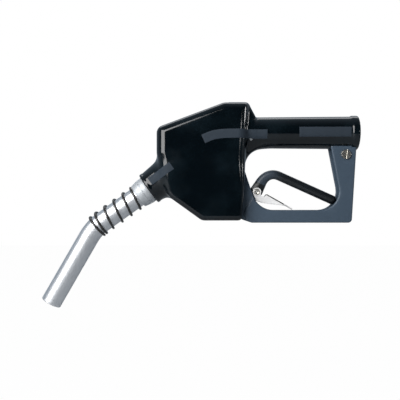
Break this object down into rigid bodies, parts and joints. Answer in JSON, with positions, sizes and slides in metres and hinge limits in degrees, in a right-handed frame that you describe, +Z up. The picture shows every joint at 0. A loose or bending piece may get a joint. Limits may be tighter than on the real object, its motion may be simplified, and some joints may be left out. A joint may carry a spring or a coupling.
{
  "type": "fuel nozzle",
  "caption": "Automatic shut-off fuel nozzle with a moulded glossy cover, guarded squeeze lever, hold-open clip and a bent metal spout.",
  "frame": {"origin": "centre of the hose inlet's mouth, at the back end of the grip", "axes": "+X along the grip and out of the hose inlet, +Z up (the lever hangs below the grip), +Y across, the mid-plane is Y = 0"},
  "size_m": [0.3682, 0.0548, 0.2375],
  "materials": {
    "die_cast": "as cast, matt",
    "vinyl_cover": "high gloss moulded vinyl",
    "guard_paint": "satin moulded composite",
    "plated_steel": "nickel plated",
    "brass": "turned",
    "seal_rubber": "matt",
    "spring_wire": "drawn wire",
    "stainless": "ground",
    "lever_finish": "satin black coating",
    "bright_stainless": "bright pressed sheet",
    "nut_metal": "matt die cast",
    "spout_metal": "polished, lightly brushed",
    "anchor_wire": "dark oiled spring wire",
    "vent_metal": "drawn tube",
    "label_strip": "matt raised strip"
  },
  "bodies": {
    "body": {"body_casting": "die_cast", "body_cover": "vinyl_cover", "lever_guard": "guard_paint", "guard_screw": "plated_steel", "guard_screw_nut": "plated_steel", "guard_front_pins": "plated_steel", "poppet_cap": "brass", "cap_seal": "seal_rubber", "poppet_spring": "spring_wire", "seat_ring": "brass", "stem_packing": "seal_rubber", "gland_nut": "brass", "plunger_spring": "spring_wire", "plunger_guide": "brass", "guide_seal": "seal_rubber", "latch_ring": "brass", "diaphragm": "seal_rubber", "diaphragm_spring": "spring_wire", "diaphragm_cap": "die_cast", "diaphragm_cap_screws": "plated_steel", "check_seat": "brass", "check_seal": "seal_rubber", "check_guide": "brass", "check_spring": "spring_wire", "spout_seal": "seal_rubber", "spout_nut": "nut_metal", "spout_tube": "spout_metal", "spout_spring": "anchor_wire", "vent_tube": "vent_metal", "vent_port": "brass", "body_labels": "label_strip", "grip_labels": "label_strip", "socket_labels": "label_strip"},
    "plunger": {"plunger": "stainless", "plunger_ring": "stainless", "latch_balls": "stainless", "lever_pin": "stainless"},
    "lever": {"lever": "lever_finish", "clip_rivet": "plated_steel", "clip_spring": "spring_wire"},
    "clip": {"hold_open_clip": "bright_stainless", "clip_wire": "bright_stainless"},
    "stem": {"main_stem": "stainless", "main_poppet": "brass", "poppet_disc": "seal_rubber", "disc_retainer": "brass", "poppet_nut": "plated_steel"},
    "check": {"check_poppet": "seal_rubber"},
    "latch": {"latch_pin": "stainless", "diaphragm_plates": "die_cast"}
  },
  "joints": [
    {"name": "plunger_trip", "type": "slide", "parent": "body", "child": "plunger", "axis": [0.3551, 0, -0.9348], "range_m": [0, 0.008], "stiffness_N_per_m": 400, "springref_m": -0.02, "deforming": ["plunger_spring"]},
    {"name": "lever_pull", "type": "hinge", "parent": "plunger", "child": "lever", "pos_m": [-0.166, 0, -0.083], "axis": [0, -1, 0], "range_deg": [0, 20]},
    {"name": "stem_lift", "type": "slide", "parent": "body", "child": "stem", "axis": [0, 0, 1], "range_m": [0, 0.0063], "stiffness_N_per_m": 150, "springref_m": -0.006, "deforming": ["poppet_spring"]},
    {"name": "clip_swing", "type": "hinge", "parent": "lever", "child": "clip", "pos_m": [-0.1176, 0, -0.069], "axis": [0, 1, 0], "range_deg": [0, 18], "stiffness_Nm_per_rad": 0.02, "springref_deg": -28.65, "deforming": ["clip_spring"]},
    {"name": "check_open", "type": "slide", "parent": "body", "child": "check", "axis": [-0.8141, 0, -0.5807], "range_m": [0, 0.005], "stiffness_N_per_m": 200, "springref_m": -0.015, "deforming": ["check_spring"]},
    {"name": "latch_lift", "type": "slide", "parent": "body", "child": "latch", "axis": [-0.3551, 0, 0.9348], "range_m": [0, 0.0025], "stiffness_N_per_m": 300, "springref_m": -0.01, "deforming": ["diaphragm", "diaphragm_spring"]}
  ],
  "couplings": [
    {"joint": "stem_lift", "follows": "lever_pull", "m_per_rad": 0.0175}
  ]
}
